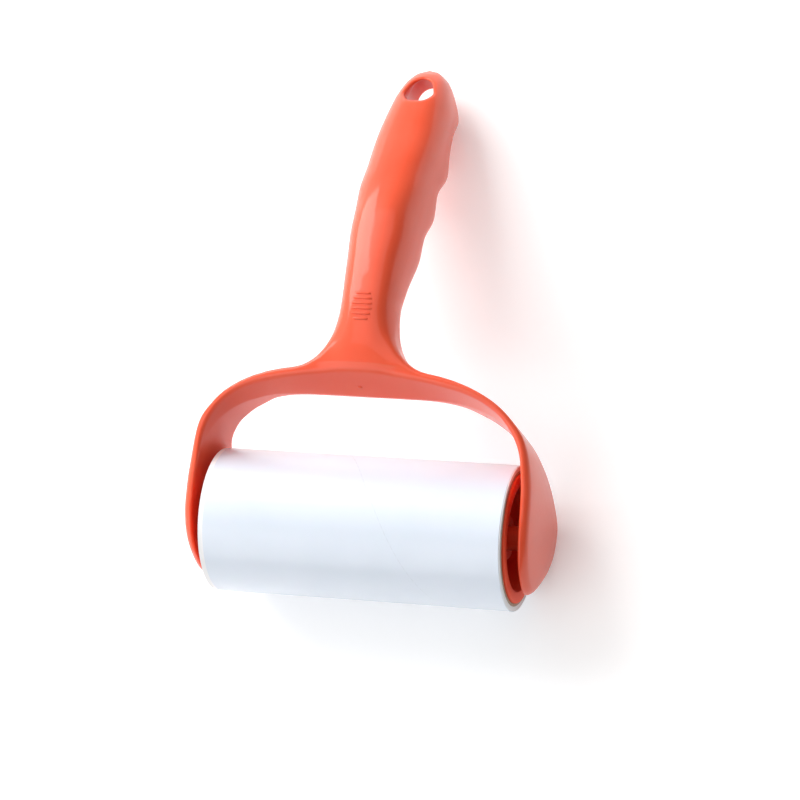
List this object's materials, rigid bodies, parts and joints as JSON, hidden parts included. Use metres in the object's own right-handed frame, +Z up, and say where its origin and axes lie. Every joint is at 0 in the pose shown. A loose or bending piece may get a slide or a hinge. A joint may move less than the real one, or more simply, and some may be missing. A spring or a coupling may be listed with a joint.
{
  "type": "lint roller",
  "caption": "Handheld lint roller: a two-armed fork with a contoured grip holds a wide roll of tacky paper that turns freely between its arms; hang hole in the grip end.",
  "frame": {"origin": "centre of the bounding box in X and Y, on the surface the roller lies on (Z = 0)", "axes": "+X along the roll axis, +Y from the roll towards the end of the grip, +Z up with the thumb side up"},
  "size_m": [0.1154, 0.1809, 0.0575],
  "materials": {
    "frame_plastic": "satin coral injection moulding",
    "grip_plastic": "satin coral injection moulding",
    "core_plastic": "satin coral injection moulding",
    "cap_plastic": "satin coral injection moulding",
    "card": "spirally wound grey-brown card",
    "wound_paper": "edges of tightly wound coated paper",
    "face_paper": "smooth white tacky paper"
  },
  "bodies": {
    "fork": {"handle_frame": "frame_plastic", "grip_back_shell": "grip_plastic"},
    "roller": {"core_barrel": "core_plastic", "left_end_cap": "cap_plastic", "right_end_cap": "cap_plastic", "card_tube": "card", "sheet_stack": "wound_paper", "outer_sheet": "face_paper"}
  },
  "joints": [
    {"name": "roll_spin", "type": "hinge", "parent": "fork", "child": "roller", "pos_m": [0, -0.06715, 0.0233], "axis": [1, 0, 0], "continuous": true}
  ]
}
